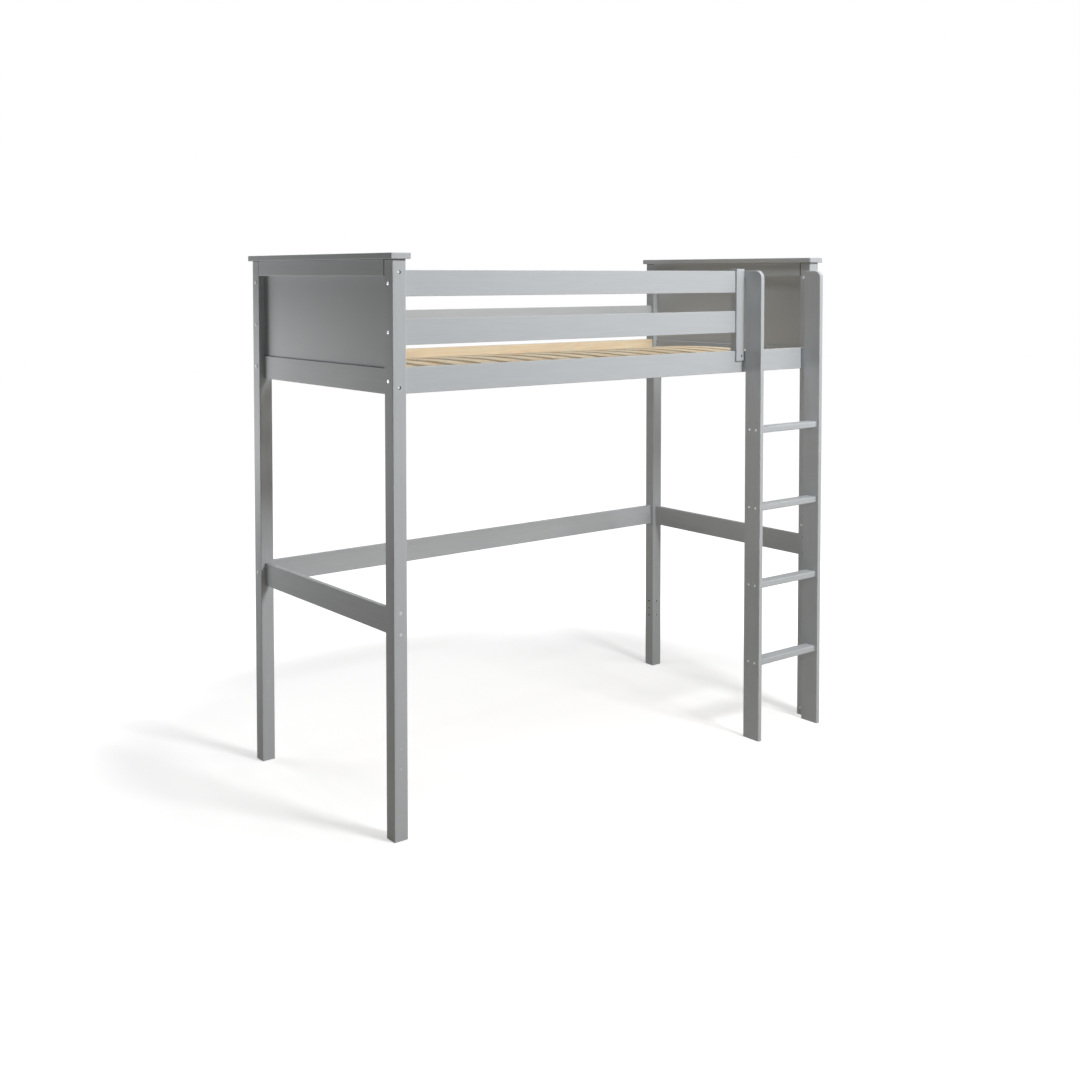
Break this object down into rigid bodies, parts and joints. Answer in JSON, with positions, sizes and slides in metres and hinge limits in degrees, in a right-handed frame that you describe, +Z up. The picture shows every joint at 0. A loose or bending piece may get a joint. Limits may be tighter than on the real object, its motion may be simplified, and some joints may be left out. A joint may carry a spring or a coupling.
{
  "type": "loft bed",
  "caption": "Grey painted pine loft bed with guard rails, panelled ends, natural pine slat deck and an upright fixed ladder.",
  "frame": {"origin": "on the floor, under the middle of the whole bed with its ladder", "axes": "+X along the bed towards the end with the ladder, -Y towards the ladder and the front guard rails, +Z up"},
  "size_m": [2.086, 1.078, 1.907],
  "materials": {
    "painted_pine": "satin grey paint",
    "natural_pine": "planed, unfinished",
    "plated_steel": "bright plated"
  },
  "bodies": {
    "root": {"post_front_left": "painted_pine", "post_front_right": "painted_pine", "post_back_left": "painted_pine", "post_back_right": "painted_pine", "back_top_rail": "painted_pine", "back_mid_rail": "painted_pine", "back_side_rail": "painted_pine", "back_stretcher": "painted_pine", "front_side_rail": "painted_pine", "front_top_rail": "painted_pine", "front_mid_rail": "painted_pine", "guard_upright": "painted_pine", "end_cap_left": "painted_pine", "end_top_rail_left": "painted_pine", "end_panel_left": "painted_pine", "end_bottom_rail_left": "painted_pine", "end_stretcher_left": "painted_pine", "end_cap_right": "painted_pine", "end_top_rail_right": "painted_pine", "end_panel_right": "painted_pine", "end_bottom_rail_right": "painted_pine", "end_stretcher_right": "painted_pine", "ladder_stringer_left": "painted_pine", "ladder_stringer_right": "painted_pine", "ladder_rung_1": "painted_pine", "ladder_rung_2": "painted_pine", "ladder_rung_3": "painted_pine", "ladder_rung_4": "painted_pine", "ladder_spacer_left": "painted_pine", "ladder_spacer_right": "painted_pine", "slat_bearer_front": "natural_pine", "slat_bearer_back": "natural_pine", "slat_01": "natural_pine", "slat_02": "natural_pine", "slat_03": "natural_pine", "slat_04": "natural_pine", "slat_05": "natural_pine", "slat_06": "natural_pine", "slat_07": "natural_pine", "slat_08": "natural_pine", "slat_09": "natural_pine", "slat_10": "natural_pine", "slat_11": "natural_pine", "slat_12": "natural_pine", "slat_13": "natural_pine", "slat_14": "natural_pine", "slat_15": "natural_pine", "slat_16": "natural_pine", "bolt_back_top_rail_left": "plated_steel", "bolt_back_top_rail_right": "plated_steel", "bolt_back_mid_rail_left": "plated_steel", "bolt_back_mid_rail_right": "plated_steel", "bolt_back_side_rail_left": "plated_steel", "bolt_back_side_rail_right": "plated_steel", "bolt_back_stretcher_left": "plated_steel", "bolt_back_stretcher_right": "plated_steel", "bolt_front_side_rail_left": "plated_steel", "bolt_front_side_rail_right": "plated_steel", "bolt_front_top_rail_left": "plated_steel", "bolt_front_mid_rail_left": "plated_steel"}
  },
  "joints": []
}
